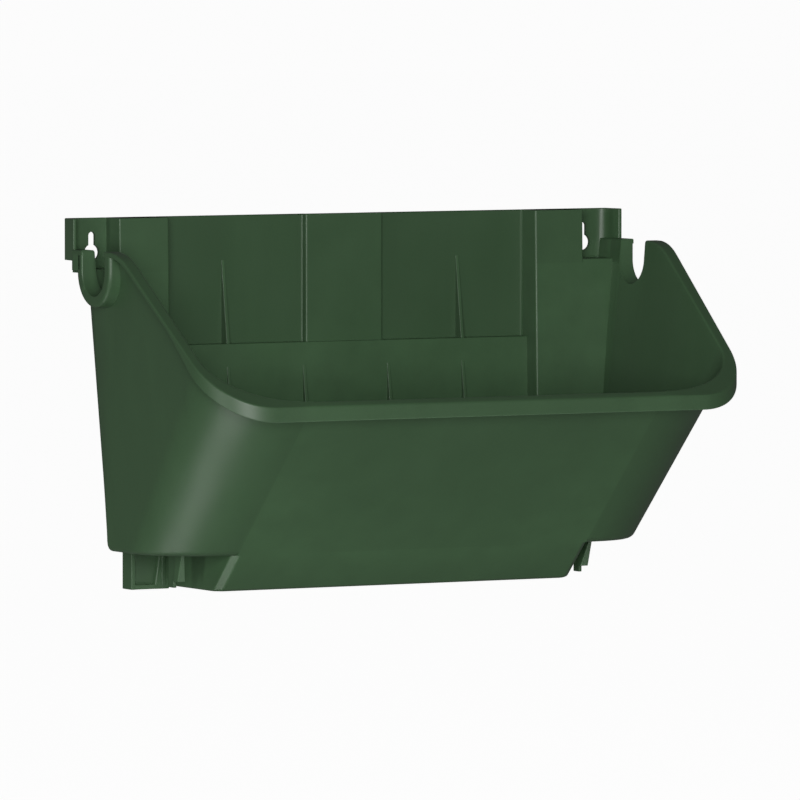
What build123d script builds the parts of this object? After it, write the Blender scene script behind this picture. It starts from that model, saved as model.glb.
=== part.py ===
"""Wall-hung parts bin: a one-colour injection moulding, split into its named walls.

Frame: millimetres, +Z up, +X to the right seen from the front, +Y into the wall.
The origin is the middle of the line between the two keyholes' round holes, on the
plane of the wall's face.  The bin reaches forward to negative Y.
"""
import os
from math import atan2, cos, radians, sin, tan

from build123d import *

os.makedirs("parts", exist_ok=True)

# ---- driving dimensions -------------------------------------------------------------
wall = 2.3                 # thickness of every moulded wall

key_height = 194.0         # keyholes' round holes above the tray's underside
key_half_span = 164.0      # half the distance between the two keyholes
key_head_radius = 4.8
key_slot_width = 4.4
key_slot_rise = 12.0       # from the round hole's centre to the slot's top

top_height = 214.1         # top edge of the back
plate_half_width = 180.6   # outer faces of the two end flanges, at the wall
flange_flare = 2.4         # how much further out the flanges stand at their front edges
flange_depth = 16.0
flange_root_radius = 7.0
flange_low = 190.0         # lower end of the flanges
plate_low_half_width = 175.3   # the plates are this much narrower below the flanges

column_inner = 122.0       # half distance between the columns' facing sides
column_outer = 154.5
column_depth = 18.6
crest_radius = 1.2

pad_half_width = 25.5
pad_proud = 4.3
step_height = 139.4        # ledge of the lower back wall
step_depth = 9.1           # its front face at the ledge
step_lean = 2.4            # how much further forward its foot stands
gusset_x = 78.2
gusset_top = 190.7
rib_x = 28.1
rib_top = 129.0
rib_lean = 7.5             # degrees that a lower rib's edge leans from its wall
web = 2.0                  # thickness of gussets and ribs

shelf_height = 184.9       # ledge beside each keyhole
floor_height = 21.9        # underside of the wings
tray_half_width = 117.7
tray_bevel = 4.0
foot_inner = 118.6
foot_outer = 143.3
foot_depth = 11.6
foot_drop = 1.8            # the feet reach this far below the tray
foot_frame = 2.6
foot_sink = 3.0

rim_height = 196.5         # flat part of the side rims
rim_half_width = 184.0
rim_front_half_width = 174.5
rim_depth = 185.0
rim_corner_radius = 37.0
rim_flat_end = 59.3        # depth at which the rim starts to fall
rim_fall_start = 80.9      # depth and height at which the fall is straight
rim_fall_start_height = 189.3
rim_fall_end = 148.0
rim_fall_end_height = 139.0
lip_height = 111.5         # rim line carried to the lip's depth
rim_thickness = 2.6
skirt_height = 8.6

side_at_rim = 177.7        # half width over the side walls at rim_height
side_draft = 0.0767        # half width lost per mm of height going down
front_at_tray = 68.0       # depth of the front wall's face at the tray's underside
front_slope = 1.008        # depth gained per mm of height
corner_low_height = 26.0
corner_low_radius = 42.6
corner_growth = 0.14       # corner radius gained per mm of height
wing_rib_x = 134.9         # middle of the ribs under the wings
wing_rib_rear = 43.4       # depth of its rear edge
wing_rib_front = 50.0      # depth of its upright front edge
wing_rib_low = 1.6         # lower edge above the tray's underside
nose_low = 5.5             # the rib's nose: its lower end, widest there
nose_face = 136.6          # half width over the noses' outer faces
nose_low_width = 5.1
nose_top_width = 1.9
nose_rear = 51.4
nose_front = 56.2          # depth of its front at its lower end
nose_lean = 5.4            # how much further forward the front is under the wing
corner_panel_width = 40.0  # wider than the panel: it is trimmed by the side walls
rib_clearance = 0.05
skirt_wall = 2.0
skirt_start = 140.0        # depth at which the rim gets its skirt
pad_edge_radius = 0.8
below = 20.0               # how far cutting blocks reach below the tray

saddle_depth = 42.0        # centre of the pipe notch in front of the wall
saddle_drop = 12.0         # its centre below the rim's flat
saddle_notch_radius = 14.0
saddle_boss_radius = 20.6
saddle_face = 183.7        # the boss's outer face
saddle_root = 26.0         # the block behind the boss reaches from the flange to this depth
saddle_root_low = 184.6

reach = 400.0              # longer than the bin: the length of cutting blocks
loft_top = 210.0


def level(height):
    """Height above the tray's underside, as a Z coordinate of the frame."""
    return height - key_height


def side_half_width(height):
    return side_at_rim - side_draft * (rim_height - height)


def front_depth(height):
    return front_at_tray + front_slope * height


def corner_radius(height):
    return corner_low_radius + corner_growth * (height - corner_low_height)


# the front wall leans, so its thickness measured level is larger
wall_level = wall * (1 + front_slope**2) ** 0.5


def shell_block(base, inset):
    """Solid bounded by the hopper's walls, brought inwards by inset walls."""
    with BuildPart() as block:
        for height in (base, loft_top):
            half = side_half_width(height) - inset * wall
            depth = front_depth(height) - inset * wall_level
            radius = corner_radius(height) - inset * wall
            with BuildSketch(Plane.XY.offset(level(height))) as section:
                Polygon((-half, 0), (half, 0), (half, -depth), (-half, -depth), align=None)
                fillet(section.vertices().group_by(Axis.Y)[0], radius)
        loft(ruled=True)
    return block.part


def below_rim(drop):
    """Everything lower than the rim's line moved down by drop."""
    low = level(-below)
    flat = level(rim_height - drop)
    fall_drop = rim_fall_start_height - rim_fall_end_height
    fall_angle = atan2(fall_drop, rim_fall_end - rim_fall_start)
    with BuildPart() as block:
        with BuildSketch(Plane.YZ):
            with BuildLine():
                start = (-rim_fall_end, level(rim_fall_end_height - drop))
                bend = (-rim_fall_start, level(rim_fall_start_height - drop))
                lip = (-rim_depth - 1, level(lip_height - drop))
                Polyline(lip, (lip[0], low), (0, low), (0, flat), (-rim_flat_end, flat))
                TangentArc((-rim_flat_end, flat), bend, tangent=(-1, 0))
                Line(bend, start)
                TangentArc(start, lip, tangent=(-cos(fall_angle), -sin(fall_angle)))
            make_face()
        extrude(amount=reach, both=True)
    return block.part


def rim_prism(inset):
    """Upright prism inside the rim's outline, brought inwards by inset."""
    half = rim_half_width - inset
    front_half = rim_front_half_width - inset
    depth = rim_depth - inset
    with BuildPart() as block:
        with BuildSketch(Plane.XY.offset(level(-below))) as outline:
            Polygon(
                (-half, 0),
                (half, 0),
                (half, -rim_flat_end),
                (front_half, -depth),
                (-front_half, -depth),
                (-half, -rim_flat_end),
                align=None,
            )
            fillet(outline.vertices().group_by(Axis.Y)[0], rim_corner_radius - inset)
        extrude(amount=loft_top + 2 * below)
    return block.part


def keep_box(x_from, x_to, depth_from, depth_to, low, high):
    """Block between two x values, two depths from the wall and two heights."""
    with BuildPart() as block:
        with BuildSketch(Plane.XY.offset(level(low))):
            with Locations(((x_from + x_to) / 2, -(depth_from + depth_to) / 2)):
                Rectangle(x_to - x_from, depth_to - depth_from)
        extrude(amount=high - low)
    return block.part


def save(piece, name):
    piece.label = name
    export_step(piece, f"parts/{name}.step")


sides = (("left", -1), ("right", 1))
hollow = shell_block(floor_height - wall, 1)
outer_block = shell_block(floor_height, 0)
under_rim = below_rim(rim_thickness)
plates = {}

# ---- the back -------------------------------------------------------------------------
ledge_low = step_height - wall
panel_width = column_inner - pad_half_width
for name, side in sides:
    with BuildPart() as back_panel:
        with BuildSketch(Plane.XY.offset(level(ledge_low))):
            with Locations((side * (pad_half_width + panel_width / 2), -wall / 2)):
                Rectangle(panel_width, wall)
        extrude(amount=top_height - ledge_low)
    save(back_panel.part, f"{name}_back_panel")

with BuildPart() as centre_pad:
    with BuildSketch(Plane.XY.offset(level(ledge_low))) as pad_section:
        with Locations((0, -(wall + pad_proud) / 2)):
            Rectangle(2 * pad_half_width, wall + pad_proud)
        with Locations((0, -pad_proud / 2)):
            Rectangle(2 * (pad_half_width - wall), pad_proud, mode=Mode.SUBTRACT)
        fillet(pad_section.vertices().group_by(Axis.Y)[0], pad_edge_radius)
    extrude(amount=top_height - ledge_low)
save(centre_pad.part, "centre_pad")

# the lower wall leans forward a little, and its ledge closes the step above it
foot_of_step = step_depth + step_lean
with BuildPart() as lower_back_wall:
    with BuildSketch(Plane.YZ):
        Polygon(
            (-step_depth + wall, level(ledge_low)),
            (-step_depth, level(ledge_low)),
            (-foot_of_step, level(wall)),
            (-foot_of_step + wall, level(wall)),
            align=None,
        )
    extrude(amount=column_inner, both=True)
    # under the wings it is only as wide as the tray, clear of the feet
    with BuildSketch(Plane.XY.offset(level(0))):
        Rectangle(3 * column_inner, 4 * column_depth)
        Rectangle(2 * tray_half_width, 4 * column_depth, mode=Mode.SUBTRACT)
    extrude(amount=floor_height, mode=Mode.SUBTRACT)
save(lower_back_wall.part, "lower_back_wall")

with BuildPart() as back_ledge:
    with BuildSketch(Plane.XY.offset(level(ledge_low))):
        with Locations((0, -(wall + step_depth) / 2)):
            Rectangle(2 * column_inner, step_depth - wall)
        with Locations((0, -(wall + pad_proud) / 2)):
            Rectangle(2 * pad_half_width, wall + pad_proud, mode=Mode.SUBTRACT)
    extrude(amount=wall)
save(back_ledge.part, "back_ledge")

with BuildPart() as back_gussets:
    for x in (-gusset_x, gusset_x):
        with BuildSketch(Plane.YZ.offset(x)):
            Polygon(
                (-wall, level(gusset_top)),
                (-wall, level(step_height)),
                (-step_depth, level(step_height)),
                align=None,
            )
        extrude(amount=web / 2, both=True)
save(back_gussets.part, "back_gussets")

rib_drop = rib_top - 2 * wall
rib_foot = step_depth + step_lean + rib_drop * tan(radians(rib_lean))
rib_head = step_depth + step_lean * (step_height - rib_top) / step_height
with BuildPart() as lower_ribs:
    for x in (-gusset_x, -rib_x, rib_x, gusset_x):
        with BuildSketch(Plane.YZ.offset(x)):
            Polygon(
                (-rib_head - rib_clearance, level(rib_top)),
                (-foot_of_step, level(wall)),
                (-rib_foot, level(wall)),
                align=None,
            )
        extrude(amount=web / 2, both=True)
save(lower_ribs.part, "lower_back_ribs")

for name, side in sides:
    with BuildPart() as column:
        with BuildSketch(Plane.XY.offset(level(floor_height))) as column_section:
            column_mid = side * (column_inner + column_outer) / 2
            column_width = column_outer - column_inner
            with Locations((column_mid, -column_depth / 2)):
                Rectangle(column_width, column_depth)
            with Locations((column_mid, -(column_depth - wall) / 2)):
                Rectangle(column_width - 2 * wall, column_depth - wall, mode=Mode.SUBTRACT)
            crest = column_section.vertices().group_by(Axis.Y)[0].sort_by(Axis.X)
            fillet(crest[-1] if side < 0 else crest[0], crest_radius)
        extrude(amount=top_height - floor_height)
        # a web closes its lower end, above the foot
        with BuildSketch(Plane.XY.offset(level(floor_height))):
            with Locations((column_mid, -(column_depth - wall) / 2)):
                Rectangle(column_width - 2 * wall, column_depth - wall)
        extrude(amount=wall)
    save(column.part, f"{name}_column")

    # keyhole plate with its end flange: an L in plan
    with BuildPart() as keyhole_plate:
        with BuildSketch(Plane.XY.offset(level(shelf_height - wall))) as plate_section:
            with BuildLine():
                root = side * column_outer
                end = side * plate_half_width
                inside = side * (plate_half_width - wall)
                flare = side * flange_flare
                Polyline(
                    (root, 0), (end, 0), (end + flare, -flange_depth),
                    (inside + flare, -flange_depth), (inside, -wall), (root, -wall), close=True,
                )
            make_face()
            inner_corner = [v for v in plate_section.vertices()
                            if abs(v.X - inside) < 0.1 and abs(v.Y + wall) < 0.1]
            fillet(inner_corner, flange_root_radius)
        extrude(amount=top_height - shelf_height + wall)
        # the flange ends higher than the plate
        plate_low = shelf_height - wall
        with BuildSketch(Plane.YZ.offset(side * plate_low_half_width)):
            with Locations((-flange_depth / 2, level((plate_low + flange_low) / 2))):
                Rectangle(flange_depth, flange_low - plate_low)
        extrude(amount=side * 5 * wall, mode=Mode.SUBTRACT)
        # keyhole: a round hole with a slot above it
        with BuildSketch(Plane.XZ):
            with Locations((side * key_half_span, 0)):
                Circle(key_head_radius)
            slot_mid = (key_slot_rise - key_slot_width / 2) / 2
            with Locations((side * key_half_span, slot_mid)):
                Rectangle(key_slot_width, key_slot_rise - key_slot_width / 2)
            with Locations((side * key_half_span, key_slot_rise - key_slot_width / 2)):
                Circle(key_slot_width / 2)
        extrude(amount=3 * wall, both=True, mode=Mode.SUBTRACT)
    save(keyhole_plate.part, f"{name}_keyhole_plate")
    plates[name] = keyhole_plate.part

    # the column's front carried out to the side wall, with a ledge at its top
    with BuildPart() as corner_panel:
        x_mid = side * (column_outer + corner_panel_width / 2)
        with BuildSketch(Plane.XY.offset(level(floor_height + wall))):
            with Locations((x_mid, -column_depth + wall / 2)):
                Rectangle(corner_panel_width, wall)
        extrude(amount=shelf_height - floor_height - wall)
        with BuildSketch(Plane.XY.offset(level(shelf_height - wall))):
            with Locations((x_mid, -(column_depth + wall) / 2)):
                Rectangle(corner_panel_width, column_depth - wall)
        extrude(amount=wall)
        add(hollow, mode=Mode.INTERSECT)
        add(plates[name], mode=Mode.SUBTRACT)
    save(corner_panel.part, f"{name}_corner_panel")

# ---- the hopper ---------------------------------------------------------------------
split_base = front_depth(floor_height) - corner_radius(floor_height)
split_slope = front_slope - corner_growth
split_x = side_half_width(floor_height) - corner_radius(floor_height)
split_x_slope = corner_growth - side_draft


def behind_corners():
    """Everything behind the slanting line where the side walls meet the corners."""
    with BuildPart() as block:
        with BuildSketch(Plane.YZ):
            Polygon(
                (0, level(floor_height)),
                (-split_base, level(floor_height)),
                (-split_base - split_slope * (loft_top - floor_height), level(loft_top)),
                (0, level(loft_top)),
                align=None,
            )
        extrude(amount=reach, both=True)
    return block.part


def between_corners():
    """Everything between the slanting lines where the front wall meets the corners."""
    top_x = split_x - split_x_slope * (loft_top - floor_height)
    with BuildPart() as block:
        with BuildSketch(Plane.XZ):
            Polygon(
                (-split_x, level(floor_height)),
                (split_x, level(floor_height)),
                (top_x, level(loft_top)),
                (-top_x, level(loft_top)),
                align=None,
            )
        extrude(amount=reach)
    return block.part


def notch(side):
    """The open pipe notch through one ear."""
    with BuildPart() as block:
        with BuildSketch(Plane.YZ.offset(side * (side_at_rim - 20))):
            with Locations((-saddle_depth, level(rim_height - saddle_drop))):
                Circle(saddle_notch_radius)
            with Locations((-saddle_depth, level(rim_height))):
                Rectangle(2 * saddle_notch_radius, 2 * saddle_drop)
        extrude(amount=side * 40)
    return block.part


side_region = behind_corners()
front_region = between_corners()
back_limit = column_depth - wall

with BuildPart() as shell:
    add(outer_block)
    add(hollow, mode=Mode.SUBTRACT)
    add(under_rim, mode=Mode.INTERSECT)
shell_part = shell.part

with BuildPart() as front_wall:
    add(shell_part)
    add(front_region, mode=Mode.INTERSECT)
    add(keep_box(-reach, reach, split_base - 5, reach, 0, loft_top), mode=Mode.INTERSECT)
save(front_wall.part, "front_wall")

for name, side in sides:
    half_space = keep_box(min(0, side * reach), max(0, side * reach), 0, reach, 0, loft_top)
    with BuildPart() as side_wall:
        add(shell_part)
        add(half_space, mode=Mode.INTERSECT)
        add(side_region, mode=Mode.INTERSECT)
        add(keep_box(-reach, reach, -1, wall, 0, loft_top), mode=Mode.SUBTRACT)
        add(keep_box(-reach, reach, 0, back_limit, 0, shelf_height - wall), mode=Mode.SUBTRACT)
        add(plates[name], mode=Mode.SUBTRACT)
        add(notch(side), mode=Mode.SUBTRACT)
    save(side_wall.part, f"{name}_side_wall")

    with BuildPart() as corner:
        add(shell_part)
        add(half_space, mode=Mode.INTERSECT)
        add(side_region, mode=Mode.SUBTRACT)
        add(front_region, mode=Mode.SUBTRACT)
    save(corner.part, f"{name}_front_corner")

    with BuildPart() as saddle:
        with BuildSketch(Plane.YZ.offset(side * (side_at_rim - 10))):
            with Locations((-saddle_depth, level(rim_height - saddle_drop))):
                Circle(saddle_boss_radius)
            with Locations((-saddle_depth, level(rim_height - saddle_drop / 2))):
                Rectangle(2 * saddle_boss_radius, saddle_drop)
            root_mid = (flange_depth + saddle_root) / 2
            with Locations((-root_mid, level((saddle_root_low + rim_height) / 2))):
                Rectangle(saddle_root - flange_depth, rim_height - saddle_root_low)
        extrude(amount=side * (saddle_face - side_at_rim + 10))
        add(outer_block, mode=Mode.SUBTRACT)
        add(under_rim, mode=Mode.INTERSECT)
        add(notch(side), mode=Mode.SUBTRACT)
    save(saddle.part, f"{name}_pipe_saddle")

    with BuildPart() as wing_floor:
        with BuildSketch(Plane.XY.offset(level(floor_height))):
            with Locations((side * (tray_half_width + 40), -(column_depth + reach) / 2)):
                Rectangle(80, reach - column_depth)
            gap_mid = side * (tray_half_width + column_inner) / 2
            with Locations((gap_mid, -(foot_of_step + column_depth) / 2)):
                Rectangle(column_inner - tray_half_width, column_depth - foot_of_step)
        extrude(amount=wall)
        add(hollow, mode=Mode.INTERSECT)
    save(wing_floor.part, f"{name}_wing_floor")

    # foot: a box below the column, hollow behind, with a sunk and ribbed front
    foot_low = -foot_drop
    foot_mid = side * (foot_inner + foot_outer) / 2
    foot_width = foot_outer - foot_inner
    with BuildPart() as foot:
        with BuildSketch(Plane.XY.offset(level(foot_low))):
            with Locations((foot_mid, -foot_depth / 2)):
                Rectangle(foot_width, foot_depth)
        extrude(amount=floor_height - foot_low)
        with BuildSketch(Plane.XY.offset(level(foot_low + foot_frame))):
            with Locations((foot_mid, -foot_depth + foot_sink / 2)):
                Rectangle(foot_width - 2 * foot_frame, foot_sink)
        extrude(amount=floor_height - foot_low - foot_frame, mode=Mode.SUBTRACT)
        with BuildSketch(Plane.XY.offset(level(foot_low + wall))):
            hollow_depth = foot_depth - foot_sink - wall
            with Locations((foot_mid, -hollow_depth / 2)):
                Rectangle(foot_width - 2 * wall, hollow_depth)
        extrude(amount=floor_height - foot_low - wall, mode=Mode.SUBTRACT)
        # a buttress rib in the sunk front, wider at its foot
        with BuildSketch(Plane.XZ.offset(foot_depth - foot_sink)):
            rib_mid = foot_mid - side * foot_width / 5
            Polygon(
                (rib_mid - web, level(foot_low + foot_frame)),
                (rib_mid + web, level(foot_low + foot_frame)),
                (rib_mid + web / 2, level(floor_height)),
                (rib_mid - web / 2, level(floor_height)),
                align=None,
            )
        extrude(amount=foot_sink)
    save(foot.part, f"{name}_foot")

    # short rib hanging below the wing: a web behind a nose that widens downwards
    with BuildPart() as wing_rib:
        with BuildSketch(Plane.YZ.offset(side * wing_rib_x)):
            web_mid = (level(wing_rib_low) + level(floor_height)) / 2
            with Locations((-(wing_rib_rear + wing_rib_front) / 2, web_mid)):
                Rectangle(wing_rib_front - wing_rib_rear, floor_height - wing_rib_low)
            nose_mid = (level(nose_low) + level(floor_height)) / 2
            with Locations((-(wing_rib_rear + nose_rear) / 2, nose_mid)):
                Rectangle(nose_rear - wing_rib_rear + 1, floor_height - nose_low)
        extrude(amount=web / 2, both=True)
        rings = ((nose_low, nose_low_width, 0), (floor_height, nose_top_width, nose_lean))
        for height, width, lean in rings:
            with BuildSketch(Plane.XY.offset(level(height))):
                depth_mid = -(nose_rear + nose_front + lean) / 2
                with Locations((side * (nose_face - width / 2), depth_mid)):
                    Rectangle(width, nose_front + lean - nose_rear)
        loft(ruled=True)
    save(wing_rib.part, f"{name}_wing_rib")

# ---- the tray below the floor ---------------------------------------------------------


def tray_block(low, inset):
    """Solid bounded by the tray's walls, brought inwards by inset walls."""
    with BuildPart() as block:
        for height in (low, floor_height):
            half = tray_half_width - inset * wall
            depth = front_depth(height) - inset * wall_level
            with BuildSketch(Plane.XY.offset(level(height))) as section:
                back = -foot_of_step
                Polygon((-half, back), (half, back), (half, -depth), (-half, -depth), align=None)
                chamfer(section.vertices().group_by(Axis.Y)[0], tray_bevel)
        loft(ruled=True)
    return block.part


tray_outer = tray_block(0, 0)
tray_inner = tray_block(wall, 1)
tray_middle = tray_half_width - wall - tray_bevel
tray_low = keep_box(-reach, reach, 0, reach, -10, wall)

with BuildPart() as tray_floor:
    with BuildSketch(Plane.XY.offset(level(0))) as floor_outline:
        depth = front_depth(0)
        Polygon(
            (-tray_half_width, -foot_of_step + wall),
            (tray_half_width, -foot_of_step + wall),
            (tray_half_width, -depth),
            (-tray_half_width, -depth),
            align=None,
        )
        chamfer(floor_outline.vertices().group_by(Axis.Y)[0], tray_bevel)
    extrude(amount=wall)
save(tray_floor.part, "tray_floor")

with BuildPart() as tray_front:
    add(tray_outer)
    add(tray_inner, mode=Mode.SUBTRACT)
    add(tray_low, mode=Mode.SUBTRACT)
    add(keep_box(-tray_middle, tray_middle, 30, reach, 0, 40), mode=Mode.INTERSECT)
save(tray_front.part, "tray_front")

for name, side in sides:
    near = side * tray_middle
    far = side * reach
    with BuildPart() as tray_side:
        add(tray_outer)
        add(tray_inner, mode=Mode.SUBTRACT)
        add(tray_low, mode=Mode.SUBTRACT)
        add(keep_box(min(near, far), max(near, far), 0, reach, 0, 40), mode=Mode.INTERSECT)
    save(tray_side.part, f"{name}_tray_side")

# ---- the rim --------------------------------------------------------------------------
lip_split_x = rim_front_half_width - rim_corner_radius
rim_split_depth = rim_depth - rim_corner_radius
with BuildPart() as skirt:
    add(rim_prism(0))
    add(rim_prism(skirt_wall), mode=Mode.SUBTRACT)
    add(below_rim(skirt_height), mode=Mode.SUBTRACT)
    add(under_rim, mode=Mode.INTERSECT)
    add(keep_box(-reach, reach, skirt_start, reach, 0, loft_top), mode=Mode.INTERSECT)
    add(outer_block, mode=Mode.SUBTRACT)

with BuildPart() as rim:
    add(rim_prism(0))
    add(below_rim(0), mode=Mode.INTERSECT)
    add(under_rim, mode=Mode.SUBTRACT)
    add(hollow, mode=Mode.SUBTRACT)
    add(keep_box(-reach, reach, -1, wall, 0, loft_top), mode=Mode.SUBTRACT)
    for name, side in sides:
        near = side * (plate_half_width - wall)
        far = side * reach
        add(keep_box(min(near, far), max(near, far), -1, flange_depth, 0, loft_top), mode=Mode.SUBTRACT)
        add(plates[name], mode=Mode.SUBTRACT)
        add(notch(side), mode=Mode.SUBTRACT)
    add(skirt.part)
rim_part = rim.part

with BuildPart() as front_lip:
    add(rim_part)
    add(keep_box(-lip_split_x, lip_split_x, 100, reach, 0, loft_top), mode=Mode.INTERSECT)
save(front_lip.part, "front_lip")

for name, side in sides:
    near = side * lip_split_x
    far = side * reach
    low_x = min(near, far)
    high_x = max(near, far)
    with BuildPart() as side_rim:
        add(rim_part)
        add(keep_box(low_x, high_x, 0, rim_split_depth, 0, loft_top), mode=Mode.INTERSECT)
    save(side_rim.part, f"{name}_side_rim")
    with BuildPart() as rim_corner:
        add(rim_part)
        add(keep_box(low_x, high_x, rim_split_depth, reach, 0, loft_top), mode=Mode.INTERSECT)
    save(rim_corner.part, f"{name}_rim_corner")
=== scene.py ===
"""Hanging parts bin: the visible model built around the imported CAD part, with its light and camera."""
import math

import bmesh
import bpy
import numpy as np
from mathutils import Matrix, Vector


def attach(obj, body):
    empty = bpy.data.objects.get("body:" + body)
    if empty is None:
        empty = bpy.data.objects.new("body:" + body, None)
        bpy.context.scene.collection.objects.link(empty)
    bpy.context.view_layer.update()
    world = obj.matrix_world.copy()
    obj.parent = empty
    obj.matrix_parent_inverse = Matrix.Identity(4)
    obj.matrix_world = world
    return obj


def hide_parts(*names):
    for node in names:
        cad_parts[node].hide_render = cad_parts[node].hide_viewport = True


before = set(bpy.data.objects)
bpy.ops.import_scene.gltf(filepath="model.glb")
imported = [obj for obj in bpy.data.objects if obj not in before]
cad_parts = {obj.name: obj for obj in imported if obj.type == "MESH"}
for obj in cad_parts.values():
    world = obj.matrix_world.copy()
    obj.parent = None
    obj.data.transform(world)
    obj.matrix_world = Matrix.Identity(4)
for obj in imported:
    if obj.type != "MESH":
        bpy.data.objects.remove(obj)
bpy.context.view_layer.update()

# ---- dimensions in millimetres ----
# heights are above the tray's underside, depths in front of the wall, and widths from the middle

SIDES = (("left", -1), ("right", 1))
WALL = 2.3
FLOOR = 21.9

# the back: its sheet, pad and columns, the shelves beside them, and the ledge over the lower wall
TOP = 214.1
SHELF = 184.9
LEDGE = 139.4
COLUMN_IN = 122.0
COLUMN_OUT = 154.5
COLUMN_DEPTH = 18.6
COLUMN_LEAN = 0.018
PAD_HALF = 25.5
PAD_PROUD = 4.3
STEP_DEPTH = 9.1
STEP_FOOT = 11.5

# thin gussets above the ledge and ribs below it
RIB_HALF_THICK = 1.0
GUSSET_X = 78.2
GUSSET_TOP = 190.7
RIB_X = 28.1
RIB_TOP = 129.0
RIB_RUN = 124.4
RIB_LEAN = math.radians(7.5)
RIB_FOOT = STEP_FOOT + RIB_RUN * math.tan(RIB_LEAN)

# the keyhole plates and their end flanges
KEY_HEIGHT = 194.0
KEY_HALF_SPAN = 164.0
KEY_HEAD_RADIUS = 4.8
KEY_SLOT_RADIUS = 2.2
KEY_SLOT_TOP = 12.0
PLATE_HALF = 180.6
PLATE_LOW_HALF = 175.3
PLATE_CUT_DEPTH = 18.0
FLANGE_HALF = 183.0
FLANGE_DEPTH = 16.0
FLANGE_LOW = 190.0
FLANGE_ROOT = 7.0
FLANGE_GAP_IN = 176.6

# the hopper's wall and its floor
BACK_OF_HOPPER = COLUMN_DEPTH - WALL
SIDE_AT_RIM = 177.7
SIDE_DRAFT = 0.0767
FRONT_AT_TRAY = 68.0
FRONT_SLOPE = 1.008
FRONT_WALL = WALL * math.hypot(1, FRONT_SLOPE)
CORNER_LOW = 42.6
CORNER_LOW_HEIGHT = 26.0
CORNER_GROWTH = 0.14
HEEL_RADIUS = 7.6
HEEL_INNER_SHARE = 0.85
FLOOR_RUN = 16.0
FLOOR_REAR = 17.0

# the rim: flat, a bend, a straight fall, then an easing towards the lip
RIM = 196.5
RIM_THICK = 2.6
RIM_FLAT_END = 59.3
RIM_BEND_END = 80.9
RIM_BEND_HEIGHT = 189.3
RIM_FALL_END = 148.0
RIM_FALL_HEIGHT = 139.0
RIM_LIP = 186.0
RIM_LIP_HEIGHT = 111.5

# the rim's outline in plan: a slightly tapering side, a round corner and a straight front
RIM_HALF = 184.0
RIM_FRONT_HALF = 174.5
RIM_DEPTH = 185.0
RIM_CORNER = 37.0
RIM_TAPER_START = 61.0
RIM_TAPER = math.atan2(RIM_HALF - RIM_FRONT_HALF, RIM_DEPTH - RIM_TAPER_START)
RIM_TANGENT = RIM_CORNER * math.tan((math.pi / 2 - RIM_TAPER) / 2)
RIM_TURN_DEPTH = RIM_DEPTH - RIM_TANGENT * math.cos(RIM_TAPER)
RIM_TURN_X = RIM_FRONT_HALF + RIM_TANGENT * math.sin(RIM_TAPER)

# the skirt below the rim's outer edge
SKIRT = 8.6
SKIRT_WALL = 2.0
SKIRT_START = 122.0
SKIRT_GROWTH = 34.0
EDGE_LIP = 0.4

# the pipe notch, the boss round it, and the block that joins the boss to the keyhole plate's flange
NOTCH_DEPTH = 42.0
NOTCH_HEIGHT = RIM - 12.0
NOTCH_RADIUS = 14.0
BOSS_RADIUS = 20.6
BOSS_FACE = 183.7
BLOCK_IN = 175.8
BLOCK_REAR = 16.1
BLOCK_FRONT = 25.0
BLOCK_LOW = 184.6

# the tray
TRAY_HALF = 117.7
TRAY_SPLIT = TRAY_HALF - WALL
TRAY_CORNER = 4.0

# strips that carry the floor back past the tray and close the column's foot, as x and depth
FLOOR_STRIP = ((115.6, 122.4), (9.6, 18.0))
COLUMN_WEB = ((122.4, 150.6), (0.1, 17.8))

# the rib below each wing: a thin web behind a nose that widens downwards
WING_RIB_X = (133.9, 135.9)
WING_RIB_REAR = 43.4
WING_RIB_FRONT = 50.0
WING_RIB_LOW = 1.6
NOSE_HEIGHT = 5.5
NOSE_LOW = ((131.5, 51.4), (136.6, 51.4), (136.6, 56.2), (131.5, 56.2))
NOSE_HIGH = ((134.7, 53.0), (136.6, 53.0), (136.6, 61.6), (134.7, 61.6))

# the feet: blocks given as x, depth, height and edge rounding, and a post that narrows upwards
FOOT_TOP = FLOOR + WALL + 0.3
FOOT_BLOCKS = (
    ("inner_cheek", (120.8, 123.4), (0, 11.6), (-1.8, FOOT_TOP), 0.5),
    ("outer_cheek", (140.7, 143.3), (0, 11.6), (-1.8, FOOT_TOP), 0.5),
    ("sole", (121.2, 142.9), (0, 11.55), (-1.75, 0.8), 0.5),
    ("front", (122.0, 142.0), (6.3, 8.6), (-1.0, FOOT_TOP), 0.2),
)
POST_BOTTOM = -1.75
POST_LOW = ((118.6, 6.0), (129.3, 6.0), (128.2, 11.6), (118.6, 11.6))
POST_HIGH = ((119.4, 6.0), (124.2, 6.0), (123.4, 10.6), (119.4, 10.6))


# ---- meshes ----


def place(points):
    """Points as x, depth, height in mm, turned into the frame's metres."""
    p = np.asarray(points, float)
    return np.stack([p[..., 0], -p[..., 1], p[..., 2] - KEY_HEIGHT], -1) / 1000


def mesh_object(name, points, faces):
    """An object from points in mm, with doubled points joined and its faces turned outwards."""
    mesh = bpy.data.meshes.new(name)
    mesh.from_pydata(place(points).tolist(), [], faces)
    work = bmesh.new()
    work.from_mesh(mesh)
    bmesh.ops.remove_doubles(work, verts=work.verts, dist=2e-6)
    bmesh.ops.recalc_face_normals(work, faces=work.faces)
    work.to_mesh(mesh)
    work.free()
    obj = bpy.data.objects.new(name, mesh)
    bpy.context.scene.collection.objects.link(obj)
    return obj


def loft(name, loops):
    """A closed solid through loops that all have the same number of points, capped at both ends."""
    count = len(loops[0])
    points = np.concatenate([np.asarray(loop, float) for loop in loops])
    faces = []
    for s in range(len(loops) - 1):
        for k in range(count):
            a = s * count + k
            b = s * count + (k + 1) % count
            faces.append((a, b, b + count, a + count))
    faces.append(tuple(range(count)))
    faces.append(tuple(range((len(loops) - 1) * count, len(loops) * count)))
    return mesh_object(name, points, faces)


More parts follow.
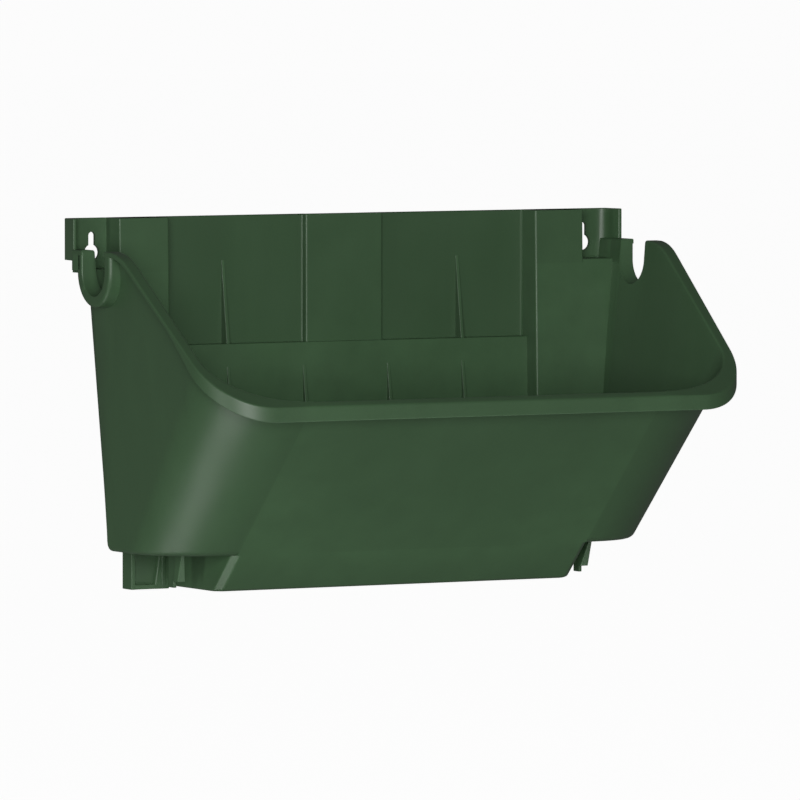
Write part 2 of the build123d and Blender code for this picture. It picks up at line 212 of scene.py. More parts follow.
def rounded(keys, segments=4):
    """A closed loop through key points, each given with the length its rounding takes from both edges."""
    points = [np.array(point, float) for point, _ in keys]
    loop = []
    for i, (_, rounding) in enumerate(keys):
        here = points[i]
        if rounding == 0:
            loop.append(here)
            continue
        back = points[i - 1] - here
        ahead = points[(i + 1) % len(points)] - here
        back_length = np.linalg.norm(back)
        ahead_length = np.linalg.norm(ahead)
        reach = min(rounding, 0.45 * back_length, 0.45 * ahead_length)
        start = here + back / back_length * reach
        end = here + ahead / ahead_length * reach
        for t in np.linspace(0, 1, segments + 1):
            loop.append((1 - t) ** 2 * start + 2 * t * (1 - t) * here + t * t * end)
    return np.array(loop)


def rounded_on(side, keys):
    """A rounded outline in x and depth, drawn for the right and taken to one side."""
    return rounded([((side * x, depth), rounding) for (x, depth), rounding in keys])


def rectangle(side, x_span, depth_span):
    """A sharp rectangle in x and depth on one side."""
    x_from, x_to = x_span
    depth_from, depth_to = depth_span
    corners = ((x_from, depth_from), (x_to, depth_from), (x_to, depth_to), (x_from, depth_to))
    return [(side * x, depth) for x, depth in corners]


def inset(outline, amount):
    """A flat outline moved inwards by amount."""
    ring = np.asarray(outline, float)
    x, y = ring[:, 0], ring[:, 1]
    turn = np.sign(np.sum(x * np.roll(y, -1) - np.roll(x, -1) * y))
    ahead = np.roll(ring, -1, 0) - ring
    ahead /= np.linalg.norm(ahead, axis=1)[:, None]
    back = np.roll(ahead, 1, 0)
    normal_ahead = np.stack([-ahead[:, 1], ahead[:, 0]], 1) * turn
    normal_back = np.stack([-back[:, 1], back[:, 0]], 1) * turn
    middle = normal_ahead + normal_back
    middle /= np.linalg.norm(middle, axis=1)[:, None]
    stretch = 1 / np.maximum(0.5, np.sum(middle * normal_ahead, axis=1))
    return ring + middle * amount * stretch[:, None]


def prism(name, outline, low, high, along="z", low_round=0.0, high_round=0.5, lean=None):
    """An outline drawn out between two levels, its end edges rounded. Along z the outline is x and depth,
    along x it is depth and height. lean moves finished points."""
    rings = []
    for degrees in (0, 30, 60) if low_round else ():
        a = math.radians(degrees)
        rings.append((low + low_round * (1 - math.cos(a)), low_round * (1 - math.sin(a))))
    rings.append((low + low_round, 0.0))
    rings.append((high - high_round, 0.0))
    for degrees in (60, 30, 0) if high_round else ():
        a = math.radians(degrees)
        rings.append((high - high_round * (1 - math.cos(a)), high_round * (1 - math.sin(a))))
    loops = []
    for at, amount in rings:
        ring = inset(outline, amount) if amount else np.asarray(outline, float)
        level = np.full(len(ring), at)
        columns = [ring[:, 0], ring[:, 1], level] if along == "z" else [level, ring[:, 0], ring[:, 1]]
        loop = np.stack(columns, 1)
        loops.append(lean(loop) if lean else loop)
    return loft(name, loops)


def tapered(name, side, low, low_corners, high, high_corners, edge):
    """A solid between an outline at a low and one at a high level, its upright edges rounded by edge."""
    loops = []
    for height, corners in ((low, low_corners), (high, high_corners)):
        outline = rounded_on(side, [(corner, edge) for corner in corners])
        loops.append(np.array([(x, depth, height) for x, depth in outline]))
    return loft(name, loops)


def mirrored(loops, side):
    """Loops drawn for the right, taken to one side."""
    return [loop * np.array([side, 1, 1]) for loop in loops]


def bake(obj):
    """Makes the object's modifiers part of its mesh."""
    graph = bpy.context.evaluated_depsgraph_get()
    graph.update()
    mesh = bpy.data.meshes.new_from_object(obj.evaluated_get(graph))
    obj.modifiers.clear()
    obj.data = mesh


def cut(obj, cutter):
    """Takes the cutter's solid out of the object."""
    tool = obj.modifiers.new("cut", "BOOLEAN")
    tool.operation = "DIFFERENCE"
    tool.solver = "EXACT"
    tool.object = cutter
    bake(obj)
    bpy.data.objects.remove(cutter)


def finish(obj, *nodes, sharp=32):
    """Shades a piece smoothly between its sharp edges and enters it in the frame."""
    for face in obj.data.polygons:
        face.use_smooth = True
    obj.data.set_sharp_from_angle(angle=math.radians(sharp))
    weigh = obj.modifiers.new("weigh", "WEIGHTED_NORMAL")
    weigh.mode = "FACE_AREA"
    weigh.weight = 90
    weigh.keep_sharp = True
    bake(obj)
    obj.data.materials.clear()
    obj.data.materials.append(plastic)
    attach(obj, "root")
    if nodes:
        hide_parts(*nodes)


# ---- the plastic ----

BASE_COLOUR = (0.031, 0.068, 0.030)
# how much paler the edges are painted: partly wear, partly a painted highlight on the crests
EDGE_WEAR_AND_HIGHLIGHT_GAIN = 2.3


def green_plastic():
    """Satin moulded plastic: drifting pigment, edges painted paler as wear and as a painted highlight,
    uneven gloss and a fine grain.
    """
    material = bpy.data.materials.new("green_plastic")
    material.use_nodes = True
    tree = material.node_tree
    shader = tree.nodes["Principled BSDF"]

    def node(kind, **values):
        made = tree.nodes.new(kind)
        for key, value in values.items():
            made.inputs[key].default_value = value
        return made

    def link(a, out, b, into):
        tree.links.new(a.outputs[out], b.inputs[into])

    place_in = node("ShaderNodeTexCoord")

    def noise(**values):
        made = node("ShaderNodeTexNoise", **values)
        link(place_in, "Object", made, "Vector")
        return made

    def spread(source, out, low, high, to_low, to_high):
        """Turns values between low and high into values between to_low and to_high."""
        limits = {"From Min": low, "From Max": high, "To Min": to_low, "To Max": to_high}
        made = node("ShaderNodeMapRange", **limits)
        link(source, out, made, "Value")
        return made

    def product(a, a_out, b, b_out):
        made = tree.nodes.new("ShaderNodeMath")
        made.operation = "MULTIPLY"
        link(a, a_out, made, 0)
        link(b, b_out, made, 1)
        return made

    # colour: slow drift of the pigment, faint flow streaks and fine specks
    drift = spread(noise(Scale=9.0, Detail=3.0, Roughness=0.5), "Fac", 0.3, 0.7, 0.94, 1.06)
    stretch = node("ShaderNodeMapping", Scale=(16.0, 16.0, 3.0))
    link(place_in, "Object", stretch, "Vector")
    flow = node("ShaderNodeTexNoise", Scale=4.0, Detail=4.0, Roughness=0.6, Distortion=0.6)
    link(stretch, "Vector", flow, "Vector")
    streak = spread(flow, "Fac", 0.3, 0.7, 0.97, 1.03)
    speck = spread(noise(Scale=900.0, Detail=2.0, Roughness=0.6), "Fac", 0.35, 0.65, 0.97, 1.03)
    drift_and_streak = product(drift, "Result", streak, "Result")
    every = product(drift_and_streak, "Value", speck, "Result")
    shade = tree.nodes.new("ShaderNodeVectorMath")
    shade.operation = "SCALE"
    shade.inputs[0].default_value = BASE_COLOUR
    link(every, "Value", shade, "Scale")

    # edges are painted a little paler, in patches: partly wear, partly a painted highlight along the crests
    geometry = tree.nodes.new("ShaderNodeNewGeometry")
    edge_wear_and_highlight = spread(geometry, "Pointiness", 0.53, 0.62, 0.0, 0.35)
    patchy_wear_and_highlight = product(edge_wear_and_highlight, "Result", noise(Scale=60.0, Detail=3.0), "Fac")
    worn_and_highlit = tree.nodes.new("ShaderNodeMix")
    worn_and_highlit.data_type = "RGBA"
    worn_and_highlit.inputs["B"].default_value = tuple(min(1.0, EDGE_WEAR_AND_HIGHLIGHT_GAIN * c) for c in BASE_COLOUR) + (1.0,)
    link(patchy_wear_and_highlight, "Value", worn_and_highlit, "Factor")
    link(shade, "Vector", worn_and_highlit, "A")
    link(worn_and_highlit, "Result", shader, "Base Color")

    # gloss: satin, with rubbed and duller patches
    gloss = spread(noise(Scale=22.0, Detail=5.0, Roughness=0.6), "Fac", 0.3, 0.7, 0.40, 0.50)
    link(gloss, "Result", shader, "Roughness")

    # fine moulded grain over faint waviness
    grain_bump = node("ShaderNodeBump", Strength=0.35, Distance=0.00005)
    link(noise(Scale=1500.0, Detail=2.0, Roughness=0.6), "Fac", grain_bump, "Height")
    wave_bump = node("ShaderNodeBump", Strength=0.25, Distance=0.0008)
    link(noise(Scale=14.0, Detail=1.0), "Fac", wave_bump, "Height")
    link(grain_bump, "Normal", wave_bump, "Normal")
    link(wave_bump, "Normal", shader, "Normal")
    shader.inputs["IOR"].default_value = 1.49
    shader.inputs["Specular IOR Level"].default_value = 0.4
    return material


plastic = green_plastic()


# ---- the hopper: one wall, rim and skirt swept along its plan ----


def rim_line(depth):
    """Height of the rim's upper face at a depth."""
    if depth <= RIM_FLAT_END:
        return RIM
    if depth <= RIM_BEND_END:
        run = RIM_BEND_END - RIM_FLAT_END
        drop = RIM - RIM_BEND_HEIGHT
        radius = (run**2 + drop**2) / (2 * drop)
        return RIM - radius + math.sqrt(radius**2 - (depth - RIM_FLAT_END) ** 2)
    fall = (RIM_BEND_HEIGHT - RIM_FALL_HEIGHT) / (RIM_FALL_END - RIM_BEND_END)
    if depth <= RIM_FALL_END:
        return RIM_BEND_HEIGHT - fall * (depth - RIM_BEND_END)
    lip_run = RIM_LIP - RIM_FALL_END
    past = depth - RIM_FALL_END
    ease = (RIM_LIP_HEIGHT - RIM_FALL_HEIGHT + fall * lip_run) / lip_run**2
    return RIM_FALL_HEIGHT - fall * past + ease * past**2


def wall_point(zone, t, height, inside, heel=True):
    """x (as a positive half width) and depth of the hopper's wall, moved in by inside mm. t runs from 0 to 1
    over each zone: the side, the corner and the front. heel rounds the side's rear edge below the shelf."""
    half = SIDE_AT_RIM - SIDE_DRAFT * (RIM - height) - inside
    front = FRONT_AT_TRAY + FRONT_SLOPE * height - inside * FRONT_WALL / WALL
    radius = CORNER_LOW + CORNER_GROWTH * (height - CORNER_LOW_HEIGHT) - inside
    turn_depth = front - radius
    if zone == "side":
        depth = BACK_OF_HOPPER + t * (turn_depth - BACK_OF_HOPPER)
        past_heel = HEEL_RADIUS - (depth - BACK_OF_HOPPER)
        if heel and height < SHELF - WALL and past_heel > 0:
            set_in = HEEL_RADIUS - math.sqrt(HEEL_RADIUS**2 - past_heel**2)
            half -= max(0.0, set_in - HEEL_INNER_SHARE * min(inside, WALL))
        return half, depth
    if zone == "corner":
        angle = t * math.pi / 2
        return half - radius + radius * math.cos(angle), turn_depth + radius * math.sin(angle)
    return (half - radius) * (1 - t) + TRAY_SPLIT * t, front


def top_of_wall(zone, t, inside, drop):
    """Height where the wall meets the rim's face lowered by drop, found by halving."""
    low, high = 60.0, 210.0
    for _ in range(50):
        middle = (low + high) / 2
        if rim_line(wall_point(zone, t, middle, inside)[1]) - drop > middle:
            low = middle
        else:
            high = middle
    return low


LAST_SIDE_DEPTH = wall_point("side", 1.0, top_of_wall("side", 1.0, 0.0, RIM_THICK), 0.0)[1]


def rim_edge(zone, t, depth):
    """x and depth of the rim's outer edge beside a wall point at depth."""
    if zone == "side":
        scale = (RIM_TURN_DEPTH - BACK_OF_HOPPER) / (LAST_SIDE_DEPTH - BACK_OF_HOPPER)
        at = BACK_OF_HOPPER + (depth - BACK_OF_HOPPER) * scale
        return RIM_HALF - math.tan(RIM_TAPER) * max(0.0, at - RIM_TAPER_START), at
    centre_x = RIM_TURN_X - RIM_CORNER * math.cos(RIM_TAPER)
    centre_depth = RIM_TURN_DEPTH - RIM_CORNER * math.sin(RIM_TAPER)
    if zone == "corner":
        angle = RIM_TAPER + (math.pi / 2 - RIM_TAPER) * t
        return centre_x + RIM_CORNER * math.cos(angle), centre_depth + RIM_CORNER * math.sin(angle)
    return centre_x * (1 - t) + TRAY_SPLIT * t, RIM_DEPTH


def skirt_drop(depth):
    """How far the rim's outer edge reaches down: it grows into the skirt along the fall."""
    t = min(1.0, max(0.0, (depth - SKIRT_START) / SKIRT_GROWTH))
    return RIM_THICK + EDGE_LIP + (SKIRT - RIM_THICK - EDGE_LIP) * t * t * (3 - 2 * t)


def hopper_section(zone, t, bottom, with_floor, x_at=None):
    """Closed section through rim, skirt and wall. x_at holds the front's sections at a fixed x."""

    def wall_at(height, inside):
        x, depth = wall_point(zone, t, height, inside)
        return [x if x_at is None else x_at, depth, height]

    inner_top = top_of_wall(zone, t, WALL, 0.0)
    outer_top = top_of_wall(zone, t, 0.0, RIM_THICK)
    outer = np.array(wall_at(outer_top, 0.0))
    edge_x, edge_depth = rim_edge(zone, t, outer[1])
    if x_at is not None:
        edge_x = x_at
    edge_height = rim_line(edge_depth)
    skirt_low = edge_height - skirt_drop(edge_depth)
    inward = outer[:2] - np.array([edge_x, edge_depth])
    inward = inward / np.linalg.norm(inward) * SKIRT_WALL
    skirt_x, skirt_depth = edge_x + inward[0], edge_depth + inward[1]
    # the heel's rounding ends between these two heights
    shelf_high = min(SHELF - WALL + 0.5, inner_top - 6.0)
    shelf_low = min(SHELF - WALL - 0.5, inner_top - 7.0)
    keys = []
    if with_floor:
        keys.append((wall_at(bottom + WALL, WALL + FLOOR_RUN), 0))
        keys.append((wall_at(bottom + WALL, WALL), 3.0))
    else:
        keys.append((wall_at(bottom, WALL), 0))
    if bottom < shelf_low:
        keys.append((wall_at(shelf_low, WALL), 0))
        keys.append((wall_at(shelf_high, WALL), 0))
    keys.append((wall_at(inner_top, WALL), 1.7))
    keys.append(([edge_x, edge_depth, edge_height], 1.1))
    keys.append(([edge_x, edge_depth, skirt_low], 0.6))
    keys.append(([skirt_x, skirt_depth, skirt_low], 0.5))
    keys.append(([skirt_x, skirt_depth, rim_line(skirt_depth) - RIM_THICK], 0.3))
    keys.append((outer, 2.2))
    if bottom < shelf_low:
        keys.append((wall_at(shelf_high, 0.0), 0))
        keys.append((wall_at(shelf_low, 0.0), 0))
    if with_floor:
        heel_nearness = max(0.0, 1 - t / 0.2) if zone == "side" else 0.0
        keys.append((wall_at(bottom, 0.0), 4.5 + 3.5 * heel_nearness))
        keys.append((wall_at(bottom, WALL + FLOOR_RUN), 0))
    else:
        keys.append((wall_at(bottom, 0.0), 0))
    return rounded(keys, 5)


# stations from the back round to the tray, close together where the heel bends
HEEL_STEPS = [0, 0.003, 0.007, 0.012, 0.02, 0.03, 0.045, 0.06, 0.08, 0.1, 0.125, 0.15, 0.18]
SIDE_STEPS = HEEL_STEPS + list(np.arange(0.21, 0.33, 0.01)) + list(np.arange(0.34, 1.0, 0.03)) + [1.0]
STATIONS = [("side", t) for t in SIDE_STEPS]
STATIONS += [("corner", t) for t in np.linspace(0, 1, 29)[1:]]
STATIONS += [("front", t) for t in (0.5, 1.0)]
SIDE_SECTIONS = [hopper_section(zone, t, FLOOR, True) for zone, t in STATIONS]


def notch_cutter(side):
    """The pipe notch: a U open upwards, through the rim and the side wall."""
    radius = NOTCH_RADIUS + 0.1
    top = RIM + 9
    outline = [(NOTCH_DEPTH - radius, top)]
    for angle in np.linspace(math.pi, 2 * math.pi, 33):
        outline.append((NOTCH_DEPTH + radius * math.cos(angle), NOTCH_HEIGHT + radius * math.sin(angle)))
    outline.append((NOTCH_DEPTH + radius, top))
    ends = sorted((side * 165, side * 191))
    return prism("cutter", outline, ends[0], ends[1], "x", 0, 0)


def flange_gap(side):
    """Block that the keyhole plate's end flange takes out of the rim."""
    outline = rectangle(side, (FLANGE_GAP_IN, 190), (-5, FLANGE_DEPTH))
    return prism("cutter", outline, 180, 205, high_round=0)


def hopper_front():
    """The straight front over the tray."""
    sections = []
    for x in np.linspace(-TRAY_SPLIT, TRAY_SPLIT, 5):
        sections.append(hopper_section("front", 1.0, FLOOR, False, x))
    finish(loft("hopper_front", sections), "front_wall", "front_lip")


def hopper_side(name, side):
    """The side, the corner and the front's end, with their rim and the edge of their floor."""
    hopper = loft(f"hopper_{name}", mirrored(SIDE_SECTIONS, side))
    cut(hopper, notch_cutter(side))
    cut(hopper, flange_gap(side))
    finish(
        hopper,
        f"{name}_side_wall",
        f"{name}_front_corner",
        f"{name}_side_rim",
        f"{name}_rim_corner",
    )


def ear_root(name, side):
    """The rim and wall run on to the back above the shelf."""
    sections = []
    for depth in (WALL - 0.5, BACK_OF_HOPPER):
        section = hopper_section("side", 0.0, SHELF - 0.8, False)
        section[:, 1] = depth
        sections.append(section)
    root = loft(f"ear_root_{name}", mirrored(sections, side))
    cut(root, flange_gap(side))
    finish(root)


def pipe_saddle(name, side):
    """The boss round the pipe notch, swept down one arm of the U, round it and up the other."""
    arm_heights = (RIM - 1.3, RIM - 6, NOTCH_HEIGHT + 0.01)
    path = [(height, -1.0, 0.0) for height in arm_heights]
    for angle in np.linspace(math.pi, 2 * math.pi, 41):
        path.append((NOTCH_HEIGHT, math.cos(angle), math.sin(angle)))
    path += [(height, 1.0, 0.0) for height in reversed(arm_heights)]
    inside_face = SIDE_AT_RIM - WALL + 0.1
    section = rounded(
        [
            ((inside_face, NOTCH_RADIUS), 0),
            ((BOSS_FACE, NOTCH_RADIUS), 0.9),
            ((BOSS_FACE, BOSS_RADIUS), 2.4),
            ((inside_face, BOSS_RADIUS), 0),
        ],
        5,
    )
    loops = []
    for height, out_depth, out_height in path:
        loop = [(x, NOTCH_DEPTH + r * out_depth, height + r * out_height) for x, r in section]
        loops.append(np.array(loop))
    finish(loft(f"pipe_saddle_{name}", mirrored(loops, side)), f"{name}_pipe_saddle")


def saddle_block(name, side):
    """The block that joins the boss to the keyhole plate's flange."""
    keys = [
        ((BLOCK_IN, BLOCK_REAR), 0),
        ((BOSS_FACE, BLOCK_REAR), 0.7),
        ((BOSS_FACE, BLOCK_FRONT), 0),
        ((BLOCK_IN, BLOCK_FRONT), 0),
    ]
    outline = rounded_on(side, keys)
    finish(prism(f"saddle_block_{name}", outline, BLOCK_LOW, RIM - 0.7, low_round=0.7, high_round=0))


def wing_floor(name, side):
    """The floor inside the run that the walls carry, and the strips that carry it back to the wall."""
    loops = []
    for height in (FLOOR, FLOOR + WALL):
        outline = [wall_point(zone, t, height, WALL + FLOOR_RUN) for zone, t in STATIONS]
        front = outline[-1][1]
        outline += [(TRAY_SPLIT, front), (TRAY_SPLIT, FLOOR_REAR + 0.5)]
        loops.append(np.array([(x, max(depth, FLOOR_REAR), height) for x, depth in outline]))
    finish(loft(f"wing_floor_{name}", mirrored(loops, side)), f"{name}_wing_floor")
    strip = rectangle(side, *FLOOR_STRIP)
    finish(prism(f"floor_strip_{name}", strip, FLOOR, FLOOR + WALL, high_round=0))
    web = rectangle(side, *COLUMN_WEB)
    finish(prism(f"column_web_{name}", web, FLOOR + 0.02, FLOOR + WALL - 0.02, high_round=0))


def wing_rib(name, side):
    """The rib below the wing and its nose."""
    top = FLOOR + 0.5
    outline = rounded(
        [
            ((WING_RIB_REAR, top), 0),
            ((52.6, top), 0),
            ((52.0, NOSE_HEIGHT), 0),
            ((WING_RIB_FRONT, 5.3), 0.5),
            ((WING_RIB_FRONT, WING_RIB_LOW), 0.6),
            ((WING_RIB_REAR, WING_RIB_LOW), 0.6),
        ]
    )
    ends = sorted(side * x for x in WING_RIB_X)
    finish(prism(f"wing_rib_{name}", outline, ends[0], ends[1], "x", 0.4, 0.4), f"{name}_wing_rib")
    finish(tapered(f"wing_rib_nose_{name}", side, NOSE_HEIGHT, NOSE_LOW, top, NOSE_HIGH, 0.6))


hopper_front()
for name, side in SIDES:
    hopper_side(name, side)
    ear_root(name, side)
    pipe_saddle(name, side)
    saddle_block(name, side)
    wing_floor(name, side)
    wing_rib(name, side)


# ---- the back ----

# the columns' edge towards the middle, and their hollow rear, as x and depth
COLUMN_INNER_EDGE = [((COLUMN_IN, 0), 0), ((COLUMN_IN, COLUMN_DEPTH), 1.4)]
COLUMN_HOLLOW = [
    ((COLUMN_OUT, 0), 0),
    ((COLUMN_OUT - WALL, 0), 0.4),
    ((COLUMN_OUT - WALL, COLUMN_DEPTH - WALL), 0.8),
    ((COLUMN_IN + WALL, COLUMN_DEPTH - WALL), 0.8),
    ((COLUMN_IN + WALL, 0), 0.4),
]


def column_lean(loop):
    """The columns' fronts lean forward going down, for the mould."""
    moved = loop.copy()
    moved[:, 1] += COLUMN_LEAN * (TOP - loop[:, 2]) * np.clip(loop[:, 1] / COLUMN_DEPTH, 0, 1)
    return moved


def back_sheet():
    """The upper back between the columns, with its hollow pad and a round root at each column."""
    half = [
        ((COLUMN_IN, 0), 0),
        ((COLUMN_IN + 0.3, WALL + 1.6), 0),
        ((COLUMN_IN - 0.1, WALL + 1.0), 0),
        ((COLUMN_IN - 0.5, WALL + 0.35), 0),
        ((COLUMN_IN - 1.6, WALL), 0),
        ((PAD_HALF, WALL), 0.9),
        ((PAD_HALF, WALL + PAD_PROUD), 1.1),
    ]
    other_half = [((-x, depth), rounding) for (x, depth), rounding in reversed(half)]
    hollow = [
        ((-PAD_HALF + WALL, 0), 0.4),
        ((-PAD_HALF + WALL, PAD_PROUD), 0.8),
        ((PAD_HALF - WALL, PAD_PROUD), 0.8),
        ((PAD_HALF - WALL, 0), 0.4),
    ]
    sheet = prism("back_sheet", rounded(half + other_half + hollow), LEDGE - WALL, TOP, high_round=0.6)
    finish(sheet, "left_back_panel", "right_back_panel", "centre_pad")


def lower_back():
    """The ledge and the wall below it, as a profile in depth and height."""
    profile = rounded(
        [
            ((WALL - 0.3, LEDGE), 0),
            ((STEP_DEPTH, LEDGE), 0.9),
            ((STEP_FOOT, WALL), 0),
            ((STEP_FOOT - WALL, WALL - 1.2), 0),
            ((STEP_DEPTH - WALL, LEDGE - WALL), 1.0),
            ((WALL - 0.3, LEDGE - WALL), 0),
        ]
    )
    wall = prism("lower_back", profile, -COLUMN_IN - 0.3, COLUMN_IN + 0.3, "x", 0, 0)
    finish(wall, "lower_back_wall", "back_ledge")


def back_fins(label, node, keys, places):
    """Thin upright fins of one profile. The first stands for the whole node."""
    profile = rounded(keys)
    for i, x in enumerate(places):
        fin = prism(f"{label}_{i}", profile, x - RIB_HALF_THICK, x + RIB_HALF_THICK, "x", 0.3, 0.3)
        finish(fin, *([node] if i == 0 else []))


def column(name, side):
    """The column above the shelf."""
    keys = COLUMN_INNER_EDGE + [((COLUMN_OUT, COLUMN_DEPTH), 0.9)] + COLUMN_HOLLOW
    outline = rounded_on(side, keys)
    upper = prism(f"column_{name}", outline, SHELF - WALL, TOP, high_round=0.6, lean=column_lean)
    finish(upper, f"{name}_column")


def corner_panel(name, side):
    """The column below the shelf with the panel that runs on from it to the side wall."""
    far_low = wall_point("side", 0.0, FLOOR + 1, 0.0, heel=False)[0]

    def panel_lean(loop):
        """Leans the fronts and carries the panel's far end along the side wall."""
        moved = column_lean(loop)
        grow = SIDE_DRAFT * (loop[:, 2] - FLOOR - 1)
        far = np.abs(loop[:, 0]) > COLUMN_OUT + 5
        moved[far, 0] += side * grow[far]
        outer = (np.abs(loop[:, 0]) > COLUMN_OUT - 5) & ~far
        moved[outer, 0] -= side * COLUMN_LEAN * (SHELF - loop[outer, 2])
        return moved

    run_to_wall = [
        ((far_low - 2.2, COLUMN_DEPTH), 0),
        ((far_low - 5.2, COLUMN_DEPTH - WALL), 0),
        ((COLUMN_OUT, COLUMN_DEPTH - WALL), 0.8),
    ]
    outline = rounded_on(side, COLUMN_INNER_EDGE + run_to_wall + COLUMN_HOLLOW)
    panel = prism(f"corner_panel_{name}", outline, FLOOR + WALL, SHELF - WALL, high_round=0, lean=panel_lean)
    finish(panel, f"{name}_corner_panel")


def shelf(name, side):
    """The shelf between the column and the ear, below the keyhole plate."""
    profile = rounded(
        [
            ((WALL - 0.5, SHELF), 0),
            ((COLUMN_DEPTH, SHELF), 0.9),
            ((COLUMN_DEPTH, SHELF - WALL), 0),
            ((WALL - 0.5, SHELF - WALL), 0),
        ]
    )
    far_end = wall_point("side", 0.0, SHELF, WALL, heel=False)[0] + 0.5
    ends = sorted((side * (COLUMN_OUT - 0.3), side * far_end))
    finish(prism(f"shelf_{name}", profile, ends[0], ends[1], "x", 0, 0, lean=column_lean))


def keyhole_cutter(side):
    """A round hole for the screw's head with a slot above it for the shank."""
    start = math.acos(-KEY_SLOT_RADIUS / KEY_HEAD_RADIUS)
    outline = []
    for angle in np.linspace(start, 3 * math.pi - start, 33):
        outline.append((KEY_HEAD_RADIUS * math.cos(angle), KEY_HEAD_RADIUS * math.sin(angle)))
    slot_centre = KEY_SLOT_TOP - KEY_SLOT_RADIUS
    for angle in np.linspace(0, math.pi, 17):
        outline.append((KEY_SLOT_RADIUS * math.cos(angle), slot_centre + KEY_SLOT_RADIUS * math.sin(angle)))
    loops = []
    for depth in (-6.0, 9.0):
        loop = [(side * KEY_HALF_SPAN + x, depth, KEY_HEIGHT + z) for x, z in outline]
        loops.append(np.array(loop))
    return loft("cutter", loops)


def keyhole_plate(name, side):
    """The plate beside the column with its end flange. It is narrower below the flange."""
    keys = [
        ((COLUMN_OUT - 0.2, 0), 0),
        ((PLATE_HALF, 0), 0.8),
        ((FLANGE_HALF, FLANGE_DEPTH), 0.8),
        ((FLANGE_HALF - WALL, FLANGE_DEPTH), 0.8),
        ((PLATE_HALF - WALL, WALL), FLANGE_ROOT),
        ((COLUMN_OUT - 0.2, WALL), 0),
    ]
    plate = prism(f"keyhole_plate_{name}", rounded_on(side, keys), SHELF - WALL, TOP, high_round=0.6)
    below_flange = rectangle(side, (PLATE_LOW_HALF, 190), (-5, PLATE_CUT_DEPTH))
    cut(plate, prism("cutter", below_flange, 170, FLANGE_LOW, high_round=0))
    cut(plate, keyhole_cutter(side))
    finish(plate, f"{name}_keyhole_plate")


def foot(name, side):
    """The foot below the column: two cheeks, a sole, a sunk front and a post at its inner cheek."""
    for i, (label, x_span, depth_span, heights, edge) in enumerate(FOOT_BLOCKS):
        outline = rounded([(corner, edge) for corner in rectangle(side, x_span, depth_span)])
        block = prism(f"foot_{label}_{name}", outline, heights[0], heights[1], low_round=edge, high_round=0)
        finish(block, *([f"{name}_foot"] if i == 0 else []))
    finish(tapered(f"foot_post_{name}", side, POST_BOTTOM, POST_LOW, FOOT_TOP, POST_HIGH, 0.7))


back_sheet()
lower_back()
gusset = [((WALL - 0.4, GUSSET_TOP), 0), ((STEP_DEPTH, LEDGE - 0.3), 0.4), ((WALL - 0.4, LEDGE - 0.3), 0)]
back_fins("gusset", "back_gussets", gusset, (-GUSSET_X, GUSSET_X))
lower_rib = [((STEP_DEPTH - 0.2, RIB_TOP), 0), ((RIB_FOOT, WALL), 0.4), ((STEP_DEPTH - 0.2, WALL), 0)]
back_fins("lower_rib", "lower_back_ribs", lower_rib, (-GUSSET_X, -RIB_X, RIB_X, GUSSET_X))
for name, side in SIDES:
    column(name, side)
    corner_panel(name, side)
    shelf(name, side)
    keyhole_plate(name, side)
    foot(name, side)


# ---- the tray ----


def tray_ring(height, inside, rear):
    """The tray's outline at a height, brought in by inside at its sides and front."""
    half = TRAY_HALF - inside
    front = FRONT_AT_TRAY + FRONT_SLOPE * height - inside * FRONT_WALL / WALL
    keys = [
        ((-half, rear), 0),
        ((half, rear), 0),
        ((half, front - TRAY_CORNER), 1.0),
        ((half - TRAY_CORNER, front), 1.0),
        ((-half + TRAY_CORNER, front), 1.0),
        ((-half, front - TRAY_CORNER), 1.0),
    ]
    return np.array([(x, depth, height) for x, depth in rounded(keys)])


def tray():
    """Rings of height and inset: up the outside from the underside, then down the inside to the floor."""
    outer_rings = [(-0.3, 3.0), (-0.3, 1.6), (-0.08, 0.8), (0.5, 0.2), (1.3, 0.0), (FLOOR, 0.0)]
    inner_rings = [(FLOOR, WALL), (4.4, WALL), (3.4, WALL + 0.25), (2.6, WALL + 0.9), (WALL, 4.2)]
    loops = [tray_ring(height, inside, STEP_FOOT - WALL + 0.3) for height, inside in outer_rings]
    loops += [tray_ring(height, inside, STEP_FOOT - 0.3) for height, inside in inner_rings]
    finish(loft("tray", loops), "tray_front", "tray_floor", "left_tray_side", "right_tray_side")


tray()


# ---- stage, light and camera, in metres ----

# the sweep's profile as y and z: a floor that turns up into a backdrop
SWEEP = ((-40.0, -0.9), (22.0, -0.9), (26.0, -0.5), (29.0, 0.6), (30.0, 3.0), (30.0, 14.0))
SWEEP_HALF_WIDTH = 40
WORLD_STRENGTH = 0.13

# each lamp's name, place, aim, width and height, and power in watts
LAMPS = (
    ("key", (-1.16, -2.17, 0.2), (0, -0.08, -0.09), (1.0, 0.9), 55),
    ("side", (-2.3, -0.75, -0.15), (0, -0.1, -0.1), (0.2, 0.9), 13),
    ("corner_bounce", (-0.46, -0.13, -0.78), (-0.13, -0.15, -0.1), (0.35, 0.35), 1.6),
    ("front_bounce", (0.3, -1.1, -0.8), (0, -0.1, -0.1), (1.0, 0.5), 4),
)

AZIMUTH = math.radians(-29)
ELEVATION = math.radians(3.1)
CAMERA_DISTANCE = 5.63
CAMERA_AIM = (0, -0.074, -0.08635)
LENS_MM = 436.5
SENSOR_MM = 36


def paper():
    """Pale paper that glows evenly."""
    material = bpy.data.materials.new("paper")
    material.use_nodes = True
    shader = material.node_tree.nodes["Principled BSDF"]
    shader.inputs["Base Color"].default_value = (0.93, 0.93, 0.93, 1)
    shader.inputs["Roughness"].default_value = 0.9
    shader.inputs["Emission Color"].default_value = (1, 1, 1, 1)
    shader.inputs["Emission Strength"].default_value = 0.85
    return material


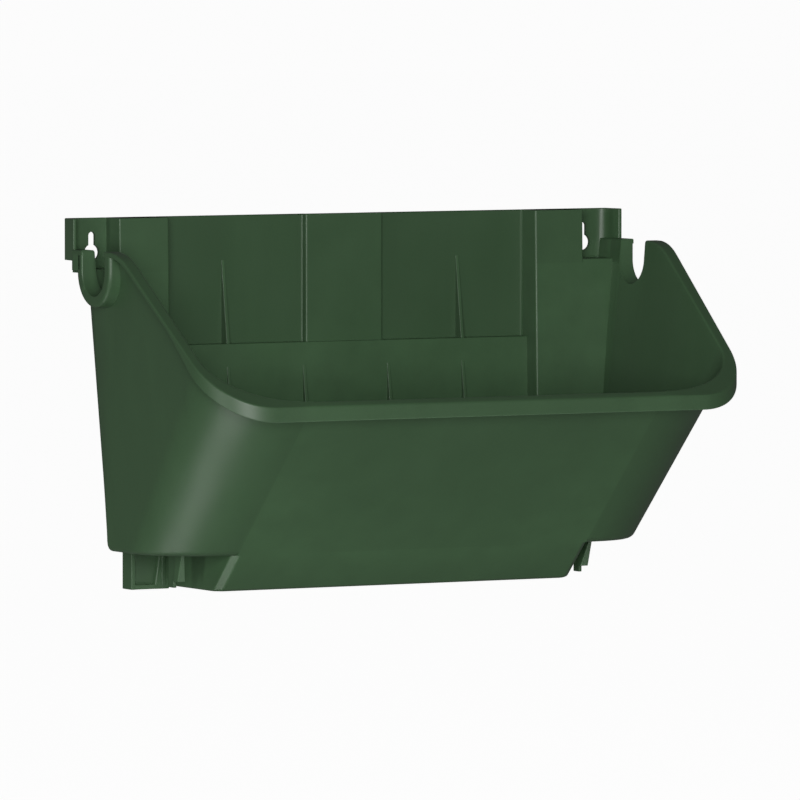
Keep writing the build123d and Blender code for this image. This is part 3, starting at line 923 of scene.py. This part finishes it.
def sweep():
    """The pale ground. It is only seen: the lamps stand for the light that it would throw back."""
    mesh = bpy.data.meshes.new("floor")
    points = [(x, y, z) for y, z in SWEEP for x in (-SWEEP_HALF_WIDTH, SWEEP_HALF_WIDTH)]
    faces = [(2 * i, 2 * i + 1, 2 * i + 3, 2 * i + 2) for i in range(len(SWEEP) - 1)]
    mesh.from_pydata(points, [], faces)
    mesh.materials.append(paper())
    floor = bpy.data.objects.new("floor", mesh)
    bpy.context.scene.collection.objects.link(floor)
    floor.visible_diffuse = False
    floor.visible_glossy = False


def studio_world():
    """Faint white light from all round."""
    world = bpy.data.worlds.new("studio")
    world.use_nodes = True
    background = world.node_tree.nodes["Background"]
    background.inputs["Color"].default_value = (1, 1, 1, 1)
    background.inputs["Strength"].default_value = WORLD_STRENGTH
    bpy.context.scene.world = world


def soft_light(name, position, target, size, power):
    """A rectangular area lamp aimed at target."""
    lamp = bpy.data.lights.new(name, "AREA")
    lamp.shape = "RECTANGLE"
    lamp.size, lamp.size_y = size
    lamp.energy = power
    obj = bpy.data.objects.new(name, lamp)
    obj.location = position
    direction = Vector(target) - Vector(position)
    obj.rotation_mode = "QUATERNION"
    obj.rotation_quaternion = direction.to_track_quat("-Z", "Y")
    bpy.context.scene.collection.objects.link(obj)


def long_lens_camera():
    """A camera far off with a long lens, to the left of the bin and a little above it."""
    data = bpy.data.cameras.new("camera")
    data.lens = LENS_MM
    data.sensor_width = SENSOR_MM
    data.clip_end = 500
    camera = bpy.data.objects.new("camera", data)
    bpy.context.scene.collection.objects.link(camera)
    towards_camera = Vector(
        (
            math.sin(AZIMUTH) * math.cos(ELEVATION),
            -math.cos(AZIMUTH) * math.cos(ELEVATION),
            math.sin(ELEVATION),
        )
    )
    camera.location = Vector(CAMERA_AIM) + towards_camera * CAMERA_DISTANCE
    camera.rotation_mode = "QUATERNION"
    camera.rotation_quaternion = (-towards_camera).to_track_quat("-Z", "Y")
    bpy.context.scene.camera = camera


sweep()
studio_world()
for lamp_values in LAMPS:
    soft_light(*lamp_values)
long_lens_camera()
bpy.context.scene.view_settings.view_transform = "Standard"
